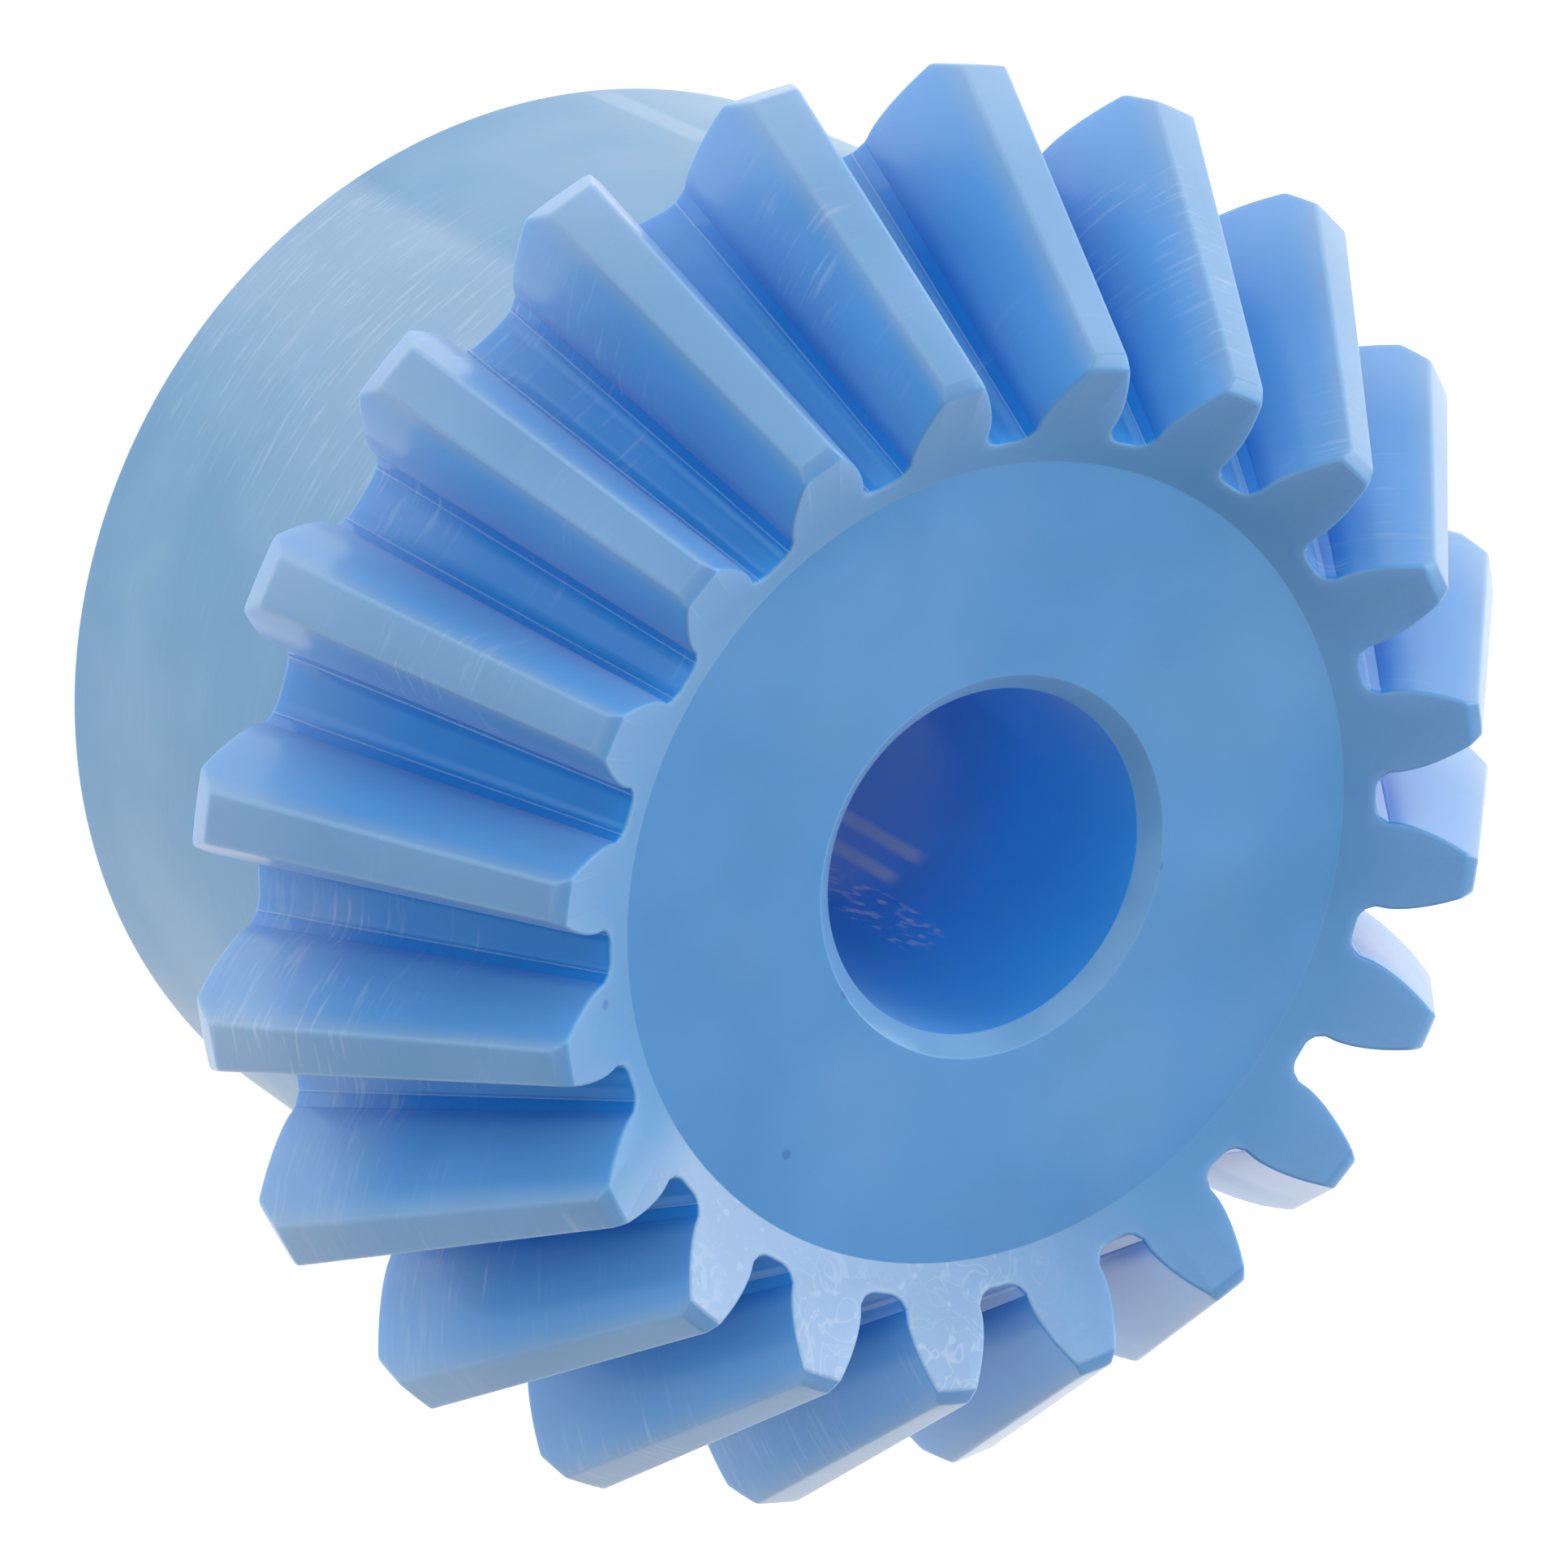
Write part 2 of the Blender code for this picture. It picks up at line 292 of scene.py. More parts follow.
def plain_ring(mesh, radius, height, edge):
    """A circle that starts just past the first slot's middle."""
    start = -math.pi / TEETH
    made = []
    for step in range(RING_SEGMENTS):
        azimuth = start + 2 * math.pi * (step + 0.5) / RING_SEGMENTS
        made.append((azimuth, add_vertex(mesh, azimuth, radius, height, edge)))
    return made


def add_face(mesh, corners):
    kept = [vertex for index, vertex in enumerate(corners) if vertex is not corners[index - 1]]
    if len(kept) > 2:
        mesh.faces.new(kept)


def join_rings(mesh, first, second):
    """Quads between two rings with the same number of vertices."""
    for index in range(len(first)):
        add_face(mesh, [first[index - 1][1], first[index][1], second[index][1], second[index - 1][1]])


def stitch_rings(mesh, first, second):
    """Triangles between two rings with different azimuths, each listed once round from the same start."""
    turn = 2 * math.pi
    first = first + [(first[0][0] + turn, first[0][1])]
    second = second + [(second[0][0] + turn, second[0][1])]
    i = j = 0
    while i < len(first) - 1 or j < len(second) - 1:
        take_first = j == len(second) - 1 or (i < len(first) - 1 and first[i + 1][0] <= second[j + 1][0])
        if take_first:
            add_face(mesh, [first[i][1], first[i + 1][1], second[j][1]])
            i += 1
        else:
            add_face(mesh, [first[i][1], second[j + 1][1], second[j][1]])
            j += 1


def rounded(points, radius):
    """A (radius, height) outline with its corners turned into arcs, as (radius, height, share of edge)."""
    corners = [Vector(point) for point in points]
    path = [(*corners[0], 0.0)]
    for before, corner, after in zip(corners, corners[1:], corners[2:]):
        into = (before - corner).normalized()
        out = (after - corner).normalized()
        half = into.angle(out) / 2
        reach = radius / math.tan(half)
        centre = corner + (into + out).normalized() * radius / math.sin(half)
        start = corner + into * reach - centre
        end = corner + out * reach - centre
        sweep = start.angle_signed(end)
        for step in range(ARC_STEPS + 1):
            turn = -sweep * step / ARC_STEPS
            radial = centre.x + start.x * math.cos(turn) - start.y * math.sin(turn)
            axial = centre.y + start.x * math.sin(turn) + start.y * math.cos(turn)
            path.append((radial, axial, CORNER_WEAR if 0 < step < ARC_STEPS else 0.0))
    path.append((*corners[-1], 0.0))
    return path


def end_cone_height(scale, radius):
    """Height of an end cone, square to the pitch cone, at a radius."""
    pitch_radius = scale * CONE_DISTANCE * math.sin(PITCH_ANGLE)
    pitch_height = MOUNTING_DISTANCE - scale * CONE_DISTANCE * math.cos(PITCH_ANGLE)
    return pitch_height + (radius - pitch_radius) * math.tan(PITCH_ANGLE)


def turned_outline(heel_radius, toe_radius):
    """The turned surface from the heel's end cone round the hub and bore to the toe's end cone."""
    hub = HUB_DIAMETER / 2
    bore = BORE_DIAMETER / 2
    rise = end_cone_height(TOE_SCALE, toe_radius) - BODY_LENGTH
    front_radius = toe_radius - rise / math.tan(PITCH_ANGLE)
    return rounded([
        (heel_radius, end_cone_height(1.0, heel_radius)),
        (hub, end_cone_height(1.0, hub)),
        (hub, 0.0),
        (bore + BORE_CHAMFER, 0.0),
        (bore, BORE_CHAMFER),
        (bore, BODY_LENGTH - BORE_CHAMFER),
        (bore + BORE_CHAMFER, BODY_LENGTH),
        (front_radius, BODY_LENGTH),
        (toe_radius, end_cone_height(TOE_SCALE, toe_radius)),
    ], CORNER_ROUND)


def collar_radius(scale):
    """Radius, on an end cone, of a circle just inside the slots' rounded mouths."""
    reach = scale * DEDENDUM + END_ROUND
    return (scale * CONE_DISTANCE * math.sin(PITCH_ANGLE) - reach * math.cos(PITCH_ANGLE)) - COLLAR


def make_gear():
    mesh = new_mesh()
    rings = [tooth_ring(mesh, *row) for row in tooth_rows()]
    for first, second in zip(rings, rings[1:]):
        join_rings(mesh, first, second)
    heel_radius = collar_radius(1.0)
    toe_radius = collar_radius(TOE_SCALE)
    outline = turned_outline(heel_radius, toe_radius)
    heel_collar = follow_ring(mesh, rings[0], heel_radius, end_cone_height(1.0, heel_radius))
    toe_collar = follow_ring(mesh, rings[-1], toe_radius, end_cone_height(TOE_SCALE, toe_radius))
    join_rings(mesh, heel_collar, rings[0])
    join_rings(mesh, rings[-1], toe_collar)
    turned = [plain_ring(mesh, *point) for point in outline[1:-1]]
    stitch_rings(mesh, turned[0], heel_collar)
    for first, second in zip(turned, turned[1:]):
        join_rings(mesh, second, first)
    stitch_rings(mesh, toe_collar, turned[-1])
    gear = finish_mesh("gear", mesh, gear_material())
    cutters = [cut_tapped_hole(gear, azimuth) for azimuth in SCREW_AZIMUTHS]
    apply_modifiers(gear)
    for cutter in cutters:
        bpy.data.objects.remove(cutter)
    paint(gear.data)
    shade(gear)
    return gear


def thread_radius(azimuth, distance, crest, root):
    """Radius of a single-start thread with flat crests and roots."""
    turn = (distance / THREAD_PITCH - azimuth / 2 / math.pi) % 1.0
    share = min(1.0, max(0.0, 4 * abs(turn - 0.5) - 0.5))
    return crest + (root - crest) * share


def height_field(mesh, rows):
    """A closed surface from rows of (radius at each azimuth, distance), the first and last rows capped."""
    rings = []
    for radii, distance in rows:
        ring = []
        for step, radius in enumerate(radii):
            azimuth = 2 * math.pi * step / len(radii)
            ring.append((azimuth, add_vertex(mesh, azimuth, radius, distance)))
        rings.append(ring)
    for first, second in zip(rings, rings[1:]):
        join_rings(mesh, first, second)
    mesh.faces.new([vertex for _, vertex in rings[0]])
    mesh.faces.new([vertex for _, vertex in rings[-1]])


def place_radially(item, azimuth, distance):
    """Point an object's own Z outwards from the bore, at a distance from the bore's axis."""
    item.rotation_euler = (0.0, math.pi / 2, azimuth)
    item.location = (distance * math.cos(azimuth), distance * math.sin(azimuth), SCREW_HEIGHT)


def cut_tapped_hole(gear, azimuth):
    """Cut a threaded, countersunk hole from the bore to the hub's surface."""
    length = HUB_DIAMETER / 2 - HOLE_START + HOLE_CREST / 4
    count = round(length / THREAD_PITCH * THREAD_STEPS)
    angles = [2 * math.pi * step / THREAD_SEGMENTS for step in range(THREAD_SEGMENTS)]
    mouth = HUB_DIAMETER / 2 - HOLE_START
    rows = []
    for step in range(count + 1):
        distance = length * step / count
        flare = HOLE_COUNTERSINK + distance - mouth
        radii = [max(thread_radius(angle, distance, HOLE_CREST, HOLE_ROOT), flare) for angle in angles]
        rows.append((radii, distance))
    mesh = new_mesh()
    height_field(mesh, rows)
    bmesh.ops.recalc_face_normals(mesh, faces=mesh.faces)
    data = bpy.data.meshes.new("hole_cutter")
    mesh.to_mesh(data)
    mesh.free()
    cutter = bpy.data.objects.new("hole_cutter", data)
    bpy.context.scene.collection.objects.link(cutter)
    place_radially(cutter, azimuth, HOLE_START)
    cut = gear.modifiers.new("hole", 'BOOLEAN')
    cut.operation = 'DIFFERENCE'
    cut.object = cutter
    return cutter


def apply_modifiers(item):
    """Replace an object's mesh by its evaluated one."""
    bpy.context.view_layer.update()
    evaluated = item.evaluated_get(bpy.context.evaluated_depsgraph_get())
    made = bpy.data.meshes.new_from_object(evaluated)
    item.modifiers.clear()
    item.data = made


def socket_radius(azimuth):
    """Distance from the centre to the edge of the hexagonal socket."""
    side = math.pi / 3
    return SOCKET_ACROSS_FLATS / 2 / math.cos((azimuth % side) - side / 2)


def make_set_screw(number, azimuth):
    """Cup-point socket set screw; its own Z runs from the cup point to the socket."""
    angles = [2 * math.pi * step / THREAD_SEGMENTS for step in range(THREAD_SEGMENTS)]
    rows = [
        ([SCREW_CORNER] * THREAD_SEGMENTS, CUP_DEPTH),
        ([CUP_RADIUS - SCREW_CORNER] * THREAD_SEGMENTS, SCREW_CORNER / 2),
        ([CUP_RADIUS] * THREAD_SEGMENTS, 0.0),
    ]
    count = round(SCREW_LENGTH / THREAD_PITCH * THREAD_STEPS)
    for step in range(1, count + 1):
        distance = SCREW_LENGTH * step / count
        point_side = CUP_RADIUS + distance * (SCREW_CREST - CUP_RADIUS) / SCREW_END_CHAMFER
        socket_side = SCREW_CREST - SCREW_END_CHAMFER + (SCREW_LENGTH - distance)
        limit = min(point_side, socket_side)
        radii = [min(limit, thread_radius(angle, distance, SCREW_ROOT, SCREW_CREST)) for angle in angles]
        rows.append((radii, distance))
    socket = [socket_radius(angle) for angle in angles]
    rows.append(([radius + SCREW_CORNER for radius in socket], SCREW_LENGTH))
    rows.append((socket, SCREW_LENGTH - SCREW_CORNER))
    rows.append((socket, SCREW_LENGTH - SOCKET_DEPTH))
    rows.append(([SCREW_CORNER] * THREAD_SEGMENTS, SCREW_LENGTH - SOCKET_DEPTH - DRILL_POINT))
    mesh = new_mesh()
    height_field(mesh, rows)
    screw = finish_mesh(f"screw_{number}", mesh, screw_material(number))
    place_radially(screw, azimuth, SCREW_TIP_RADIUS)
    return screw


def finish_mesh(name, mesh, material):
    bmesh.ops.recalc_face_normals(mesh, faces=mesh.faces)
    data = bpy.data.meshes.new(name)
    mesh.to_mesh(data)
    mesh.free()
    data.materials.append(material)
    item = bpy.data.objects.new(name, data)
    bpy.context.scene.collection.objects.link(item)
    return item


def shade(item):
    """Smooth shading, with real edges kept sharp and large faces kept flat."""
    item.data.shade_smooth()
    item.data.set_sharp_from_angle(angle=SMOOTH_ANGLE)
    normals = item.modifiers.new("normals", 'WEIGHTED_NORMAL')
    normals.keep_sharp = True


# Linear colours of the nylon where it is turned, cut and worn, with painted shade, sheen and highlights in
# some zones, and of the screws' steel
DISC_TINT = (0.118, 0.350, 0.710)
FACE_TINT = (0.120, 0.340, 0.660)      # toe ring, heel cone, heel chamfers and back face
CHAMFER_HIGHLIGHT_TINT = (0.160, 0.390, 0.690)   # bore chamfer at the front, paler: painted highlight
HUB_TINT = (0.120, 0.315, 0.540)
# Lands paler and whiter: painted sheen
LAND_SHEEN_TINT = (0.190, 0.382, 0.655)
FLANK_TINT = (0.098, 0.345, 0.730)
# Slots darker and a deeper blue: painted shade
SLOT_SHADE_TINT = (0.020, 0.262, 0.700)
CHANNEL_SHADE_TINT = (0.012, 0.250, 0.720)
# Bore a deeper, more saturated blue: painted shade
BORE_SHADE_TINT = (0.030, 0.400, 0.930)
WORN_AND_REFLECTION_TINT = (0.370, 0.515, 0.760)
WHITENED = (0.620, 0.730, 0.880)
PIT_TINT = (0.030, 0.120, 0.400)
DULL_STEEL = (0.40, 0.40, 0.41)
STEEL = (0.50, 0.50, 0.51)
BRIGHT_STEEL = (0.60, 0.60, 0.61)
REFLECTION_STRIPE_TINT = (0.950, 0.860, 0.880)
FACE_GLOSS = 0.0
TOOTH_GLOSS = 0.85
BORE_GLOSS = 1.0
# Azimuths between which the toe faces are scuffed and paled by a painted reflection: start, full, fading,
# end
WORN_AND_REFLECTING_TOES = (math.radians(15), math.radians(27), math.radians(62), math.radians(112))
WORN_AND_REFLECTION_SHARE = 0.75                  # how far a scuffed toe face turns to its pale tint, partly wear and partly painted reflection
LAND_SHEEN_BLEND = (0.6, 1.0)                # share of the addendum over which the flank turns to the land's tint, a painted sheen
SLOT_SHADE_BLEND = (0.35, 0.75)              # share of the dedendum over which it turns to the slot's tint, a painted shade
FLAT_SLACK = 0.00001                   # how far a point of the front face may lie from its plane
# Scuffed stretches and painted sheen of the tooth heels, and painted reflections on the hub wall and in the
# bore, as azimuths and heights
HEEL_SCUFFS = (math.radians(-8), math.radians(36))
HEEL_SCUFF_SLANTS = (0.0470, 0.0520)   # distances from the apex between which the scuffs set in
HEEL_SCUFF_FADE = 0.07
HEEL_SCUFF_GAIN = 1.4
# Slants over which the heels of the flanks are whitened: painted sheen
HEEL_SHEEN_SLANTS = (0.046, 0.054)
# Painted reflection on the hub wall: a pale band and a narrow highlight line
HUB_REFLECTION_BAND = (math.radians(-73), math.radians(-60), math.radians(-38))   # sharp start, full, faded out
HUB_HIGHLIGHT_LINE = math.radians(-101.7)
HUB_HIGHLIGHT_HALF = math.radians(1.0)
HUB_HIGHLIGHT_HEIGHTS = (0.0015, 0.009)
HUB_HIGHLIGHT_END_FADE = 0.002
HUB_REFLECTION_FADE = 0.03                   # radians either side of the band's sharp start
# Stretch of the hub where its streaks are whitened most: painted reflection
HUB_STREAK_REFLECTION_FADE = 0.12
HUB_STREAK_REFLECTION_ZONE = (math.radians(-72), math.radians(-44))
# Painted reflections in the bore: pale stripes and small streaks
BORE_REFLECTION_STRIPES = ((math.radians(126.5), 0.0140, 0.0203), (math.radians(116), 0.0150, 0.0199))
REFLECTION_STRIPE_HALF = math.radians(2.2)
REFLECTION_STRIPE_END_FADE = 0.0015
BORE_REFLECTION_STREAKS = (math.radians(96), math.radians(109), 0.0170, 0.0250)
REFLECTION_STREAK_HEIGHT_FADE = 0.002
REFLECTION_STREAK_AZIMUTH_FADE = 0.03


def blend_tint(first, second, share):
    return tuple(a + (b - a) * share for a, b in zip(first, second))


def ease(value, low, high):
    """Zero at or below low, one at or above high, smooth between; low may be above high."""
    share = min(1.0, max(0.0, (value - low) / (high - low)))
    return share * share * (3 - 2 * share)


def zone_of(point):
    """The tint, with painted shade, sheen and reflection in some zones, and the hub, tooth, worn toe and
    gloss shares, at a point of the gear's surface.
    """
    radius = math.hypot(point.x, point.y)
    drop = MOUNTING_DISTANCE - point.z
    scale = (radius * math.sin(PITCH_ANGLE) + drop * math.cos(PITCH_ANGLE)) / CONE_DISTANCE
    height = (radius * math.cos(PITCH_ANGLE) - drop * math.sin(PITCH_ANGLE)) / scale
    slack = CORNER_ROUND / 2
    if radius < BORE_DIAMETER / 2 + slack and BORE_CHAMFER < point.z < BODY_LENGTH - BORE_CHAMFER:
        return BORE_SHADE_TINT, 0.0, 0.0, 0.0, BORE_GLOSS
    if abs(point.z - BODY_LENGTH) < FLAT_SLACK and radius < collar_radius(TOE_SCALE):
        return DISC_TINT, 0.0, 0.0, 0.0, FACE_GLOSS
    if radius < BORE_DIAMETER / 2 + BORE_CHAMFER + slack and point.z > slack:
        return CHAMFER_HIGHLIGHT_TINT, 0.0, 0.0, 0.0, BORE_GLOSS
    if radius < HUB_DIAMETER / 2 + slack and scale > 1 + slack:
        return HUB_TINT, 1.0 if point.z > slack else 0.0, 0.0, 0.0, FACE_GLOSS
    if scale < TOE_SCALE + END_ROUND / CONE_DISTANCE / 2:
        # Toe faces on one side paled: partly wear, partly painted reflection
        azimuth = math.atan2(point.y, point.x)
        worn = ease(azimuth, WORN_AND_REFLECTING_TOES[0], WORN_AND_REFLECTING_TOES[1]) * ease(azimuth, WORN_AND_REFLECTING_TOES[3], WORN_AND_REFLECTING_TOES[2])
        return blend_tint(FACE_TINT, WORN_AND_REFLECTION_TINT, worn * WORN_AND_REFLECTION_SHARE), 0.0, 0.0, worn, FACE_GLOSS
    if scale > 1 - END_ROUND / CONE_DISTANCE / 2:
        return FACE_TINT, 0.0, 0.0, 0.0, FACE_GLOSS
    # Flanks paler towards the tips (painted sheen) and darker towards the roots (painted shade)
    above = ease(height, ADDENDUM * LAND_SHEEN_BLEND[0], ADDENDUM * LAND_SHEEN_BLEND[1])
    below = ease(height, -DEDENDUM * SLOT_SHADE_BLEND[0], -DEDENDUM * SLOT_SHADE_BLEND[1])
    tint = blend_tint(blend_tint(FLANK_TINT, LAND_SHEEN_TINT, above), SLOT_SHADE_TINT, below)
    return tint, 0.0, 1.0, 0.0, TOOTH_GLOSS


def paint(data):
    """Store the tint and the zones on every vertex, for the material."""
    tints = data.color_attributes.new(name=TINT, type='FLOAT_COLOR', domain='POINT')
    zones = data.color_attributes.new(name=ZONES, type='FLOAT_COLOR', domain='POINT')
    for vertex in data.vertices:
        tint, hub, tooth, worn, gloss = zone_of(vertex.co)
        tints.data[vertex.index].color = (*tint, 1.0)
        zones.data[vertex.index].color = (hub, tooth, worn, gloss)


# Frequencies of the nylon's noises, per metre
CLOUD_SCALE = 130.0
PATCH_SCALE = 95.0
GRAIN_SCALE = 5200.0
SCRIBBLE_SCALE = 620.0
SPECK_SCALE = 1900.0
PIT_SCALE = 260.0
# Tool marks are slow along the cut and fast across it, as (along, across)
HUB_MARKS = (420.0, 3900.0)
FACE_MARKS = (60.0, 3400.0)
TOOTH_MARKS = (420.0, 4300.0)
SCREW_MARKS = (1200.0, 9000.0)
REFLECTION_STREAK_TURN = 16.0                      # per radian round the bore
REFLECTION_STREAK_RUN = (-900.0, 250.0)            # along and across the painted reflection streaks, per metre of the bore

# The stretch of a noise or distance over which each mark sets in
CLOUD_NOISE = (0.3, 0.7)
STROKE_NOISE = (0.54, 0.74)
HUB_STREAK_NOISE = (0.50, 0.78)
SPECK_NOISE = (0.70, 0.82)
REFLECTION_STREAK_NOISE = (0.50, 0.74)
SCRIBBLE_WIDTH = 0.045
PIT_DISTANCES = (0.08, 0.03)
PIT_CHOICE = (0.94, 0.95)              # so that only a few cells hold a pit
FACE_ROUGHNESS = (0.30, 0.40)

# How far each mark whitens or darkens the nylon
STROKE_WHITE = 0.26
HUB_STREAK_AND_REFLECTION_WHITE = 0.34
HUB_REFLECTION_WHITE = 0.24
SCRIBBLE_WHITE = 0.38
SHEEN_AND_SCUFF_WHITE = 0.20
EDGE_WHITE = 0.36
REFLECTION_STRIPE_WHITE = 0.85
CHANNEL_SHADE = 0.7
PIT_DARK = 0.5

# Relief, in metres
GRAIN_RELIEF = 0.0000012
HUB_RELIEF = 0.000004
PLAIN_RELIEF = 0.0000010
STROKE_RELIEF = 0.000006
SCREW_RELIEF = 0.000003


class Nodes:
    """Short calls for one material's nodes; a value is a number, a colour or a node's output."""

    def __init__(self, name):
        self.material = bpy.data.materials.new(name)
        self.material.use_nodes = True
        self.tree = self.material.node_tree
        self.shader = self.tree.nodes["Principled BSDF"]

    def feed(self, socket, value):
        if isinstance(value, bpy.types.NodeSocket):
            self.tree.links.new(value, socket)
        else:
            socket.default_value = value

    def add(self, kind, inputs=(), **settings):
        node = self.tree.nodes.new(kind)
        for name, value in settings.items():
            setattr(node, name, value)
        for socket, value in inputs:
            self.feed(node.inputs[socket], value)
        return node

    def maths(self, operation, first, second=0.0):
        return self.add("ShaderNodeMath", ((0, first), (1, second)), operation=operation).outputs[0]

    def times(self, first, second):
        return self.maths('MULTIPLY', first, second)

    def plus(self, first, second):
        return self.maths('ADD', first, second)

    def fade(self, value, low, high, start=0.0, end=1.0):
        """Smoothly from start at low to end at high."""
        inputs = (("Value", value), ("From Min", low), ("From Max", high),
                  ("To Min", start), ("To Max", end))
        return self.add("ShaderNodeMapRange", inputs, interpolation_type='SMOOTHSTEP').outputs["Result"]

    def band(self, value, low, high, soft):
        """One between low and high, fading to zero over a soft margin outside them."""
        return self.times(self.fade(value, low - soft, low), self.fade(value, high, high + soft, 1.0, 0.0))

    def vector(self, x, y, z):
        return self.add("ShaderNodeCombineXYZ", ((0, x), (1, y), (2, z))).outputs[0]

    def stretched(self, x, y, across, slow, fast):
        """Coordinates of marks that run long in x and y and lie close together along a third direction."""
        return self.vector(self.times(x, slow), self.times(y, slow), self.times(across, fast))

    def noise(self, vector, scale, detail=2.0, distortion=0.0):
        inputs = (("Vector", vector), ("Scale", scale), ("Detail", detail), ("Distortion", distortion))
        return self.add("ShaderNodeTexNoise", inputs).outputs["Fac"]

    def mix(self, share, first, second, blend='MIX'):
        inputs = (("Factor", share), ("A", first), ("B", second))
        node = self.tree.nodes.new("ShaderNodeMix")
        node.data_type = 'RGBA'
        node.blend_type = blend
        sockets = {socket.name: socket for socket in node.inputs if socket.enabled}
        for name, value in inputs:
            self.feed(sockets[name], value)
        return next(socket for socket in node.outputs if socket.enabled)

    def bump(self, height):
        """Give the surface a relief, in metres."""
        node = self.add("ShaderNodeBump", (("Height", height), ("Distance", 1.0), ("Strength", 1.0)))
        self.feed(self.shader.inputs["Normal"], node.outputs["Normal"])

    def attribute(self, name):
        return self.add("ShaderNodeAttribute", attribute_name=name)


class Nylon(Nodes):
    """The places, zones and noises that the nylon's marks share."""

    def __init__(self, name):
        super().__init__(name)
        self.place = self.add("ShaderNodeTexCoord").outputs["Object"]
        split = self.add("ShaderNodeSeparateXYZ", ((0, self.place),))
        self.x, self.y, self.z = split.outputs[0], split.outputs[1], split.outputs[2]
        self.radius = self.maths('SQRT', self.plus(self.times(self.x, self.x), self.times(self.y, self.y)))
        self.azimuth = self.maths('ARCTAN2', self.y, self.x)
        drop = self.maths('SUBTRACT', MOUNTING_DISTANCE, self.z)
        # Distance from the apex along the pitch cone
        self.slant = self.plus(self.times(self.radius, math.sin(PITCH_ANGLE)),
                               self.times(drop, math.cos(PITCH_ANGLE)))
        self.tint = self.attribute(TINT).outputs["Color"]
        zones = self.attribute(ZONES)
        zone = self.add("ShaderNodeSeparateColor", ((0, zones.outputs["Color"]),))
        self.hub, self.tooth, self.worn = zone.outputs[0], zone.outputs[1], zone.outputs[2]
        self.gloss = zones.outputs["Alpha"]
        self.plain = self.maths('SUBTRACT', self.maths('SUBTRACT', 1.0, self.hub), self.tooth)
        self.edge = self.attribute(EDGE_MARK).outputs["Fac"]
        self.channel = self.attribute(CHANNEL_MARK).outputs["Fac"]
        self.cloud = self.noise(self.place, CLOUD_SCALE, 4.0, 0.4)
        self.patches = self.noise(self.place, PATCH_SCALE, 2.0)
        self.grain = self.noise(self.place, GRAIN_SCALE, 1.0)
        self.tool = self.tool_marks()

    def tool_marks(self):
        """The marks of the tools, which run along each zone's own cut."""
        round_the_hub = self.stretched(self.x, self.y, self.z, *HUB_MARKS)
        round_the_face = self.stretched(self.x, self.y, self.radius, *FACE_MARKS)
        across_the_tooth = self.stretched(self.x, self.y, self.slant, *TOOTH_MARKS)
        turned = self.mix(self.hub, round_the_face, round_the_hub)
        return self.noise(self.mix(self.tooth, turned, across_the_tooth), 1.0, 3.0, 0.25)


def tooth_strokes(net):
    strokes = net.times(net.fade(net.tool, *STROKE_NOISE), net.fade(net.patches, 0.47, 0.66))
    return net.times(strokes, net.tooth)


def hub_streaks_and_reflection(net):
    # Turning streaks on the hub wall, whitened most across the hub's reflection band: partly real marks,
    # partly painted reflection
    zone = net.band(net.azimuth, *HUB_STREAK_REFLECTION_ZONE, HUB_STREAK_REFLECTION_FADE)
    streaks_and_reflection = net.times(net.fade(net.tool, *HUB_STREAK_NOISE), net.plus(net.times(zone, 0.65), 0.10))
    return net.times(streaks_and_reflection, net.hub)


def hub_painted_reflection(net):
    """Painted reflection: a pale band along the hub wall, and a narrow painted highlight line beside it."""
    band = net.times(net.fade(net.azimuth, HUB_REFLECTION_BAND[0] - HUB_REFLECTION_FADE, HUB_REFLECTION_BAND[0] + HUB_REFLECTION_FADE),
                     net.fade(net.azimuth, HUB_REFLECTION_BAND[1], HUB_REFLECTION_BAND[2], 1.0, 0.0))
    line = net.band(net.azimuth, HUB_HIGHLIGHT_LINE - HUB_HIGHLIGHT_HALF, HUB_HIGHLIGHT_LINE + HUB_HIGHLIGHT_HALF, HUB_HIGHLIGHT_HALF)
    line = net.times(line, net.band(net.z, *HUB_HIGHLIGHT_HEIGHTS, HUB_HIGHLIGHT_END_FADE))
    return net.times(net.maths('MAXIMUM', band, line), net.hub)


def heel_sheen_and_scuffs(net):
    """Painted sheen at the heels of the flanks, and scuffs on some of them."""
    sheen_and_scuffs = net.times(net.fade(net.slant, *HEEL_SHEEN_SLANTS), net.tooth)
    scuffed = net.times(net.band(net.azimuth, *HEEL_SCUFFS, HEEL_SCUFF_FADE),
                        net.fade(net.slant, *HEEL_SCUFF_SLANTS))
    smears = net.plus(net.fade(net.patches, 0.35, 0.6, 0.2, 0.6), net.fade(net.tool, 0.5, 0.7, 0.0, 0.4))
    scuffed = net.times(scuffed, smears)
    return net.plus(sheen_and_scuffs, net.times(scuffed, net.times(net.tooth, HEEL_SCUFF_GAIN)))


def toe_scribbles(net):
    """Curly scratches and specks on the worn toe faces."""
    swirls = net.noise(net.vector(net.x, net.y, 0.0), SCRIBBLE_SCALE, 1.0, 1.6)
    curls = net.maths('ABSOLUTE', net.plus(swirls, -0.5))
    scribbles = net.times(net.fade(curls, SCRIBBLE_WIDTH, 0.0), net.fade(net.patches, 0.38, 0.55))
    specks = net.fade(net.noise(net.place, SPECK_SCALE, 0.0), *SPECK_NOISE)
    return net.times(net.maths('MAXIMUM', scribbles, specks), net.fade(net.worn, 0.25, 1.0))


